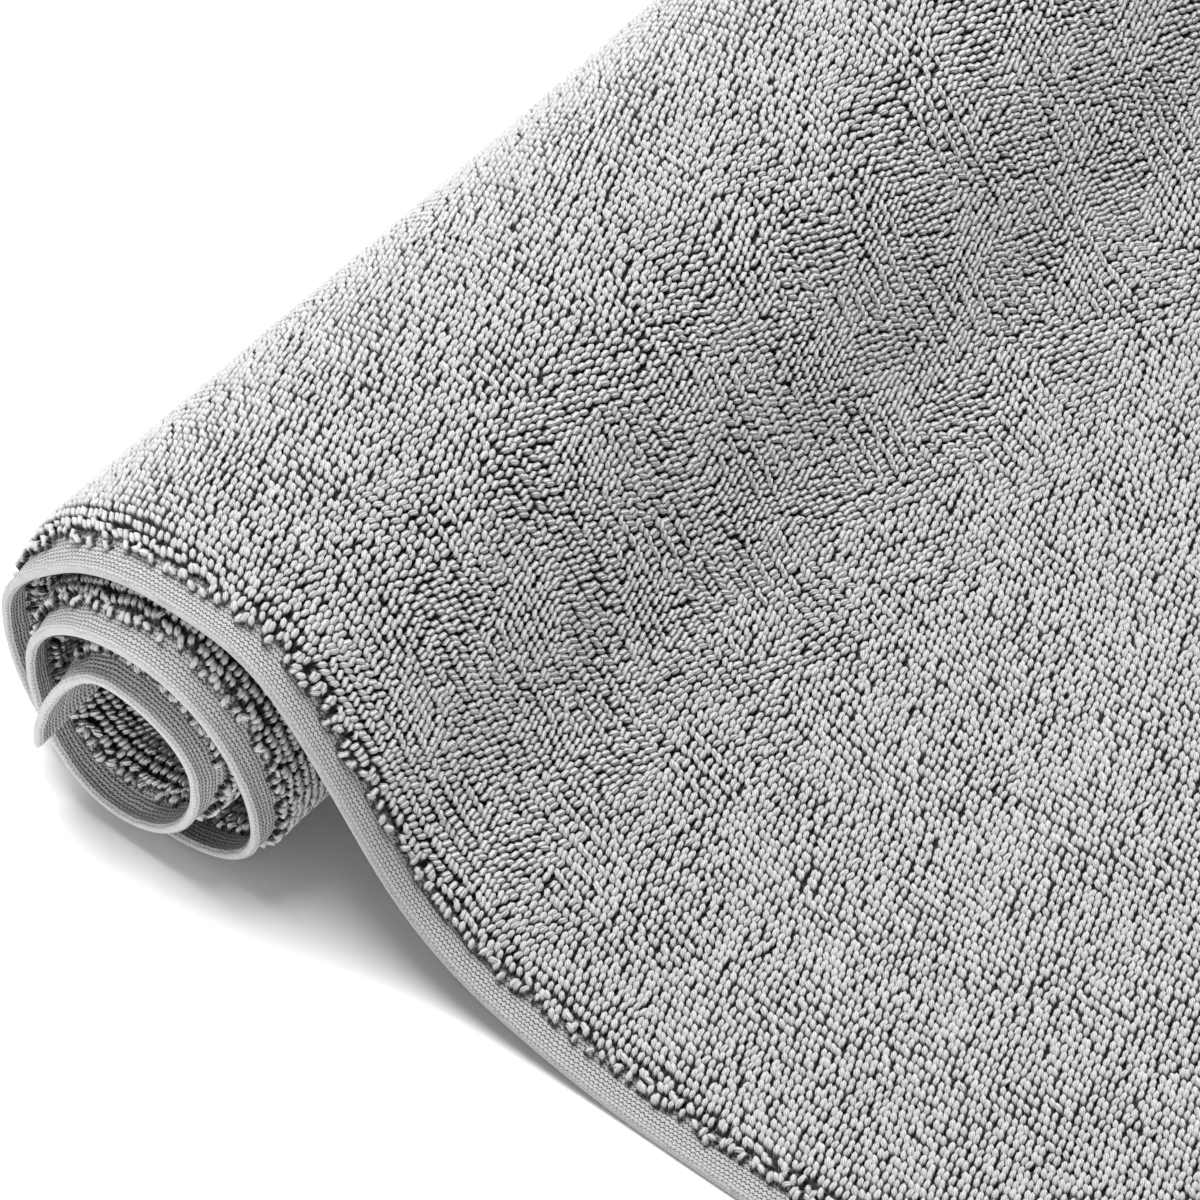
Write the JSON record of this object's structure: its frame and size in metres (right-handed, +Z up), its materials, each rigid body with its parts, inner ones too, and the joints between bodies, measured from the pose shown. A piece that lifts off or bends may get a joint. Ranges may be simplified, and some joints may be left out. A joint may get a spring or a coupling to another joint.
{
  "type": "rolled bath mat",
  "caption": "Thick grey cotton terry bath mat, rolled up from one end, with a loose tail that falls from the top of the roll and lies flat.",
  "frame": {"origin": "on the surface that the mat lies on, under the middle of its whole footprint", "axes": "+Z up, X runs along the loose tail away from the roll, Y runs along the roll, the seen end of the roll faces -Y"},
  "size_m": [0.4072, 0.5311, 0.0898],
  "materials": {
    "grey_terry": "matte cotton loop pile with a flat woven hem"
  },
  "bodies": {
    "root": {"bath_mat": "grey_terry"}
  },
  "joints": []
}
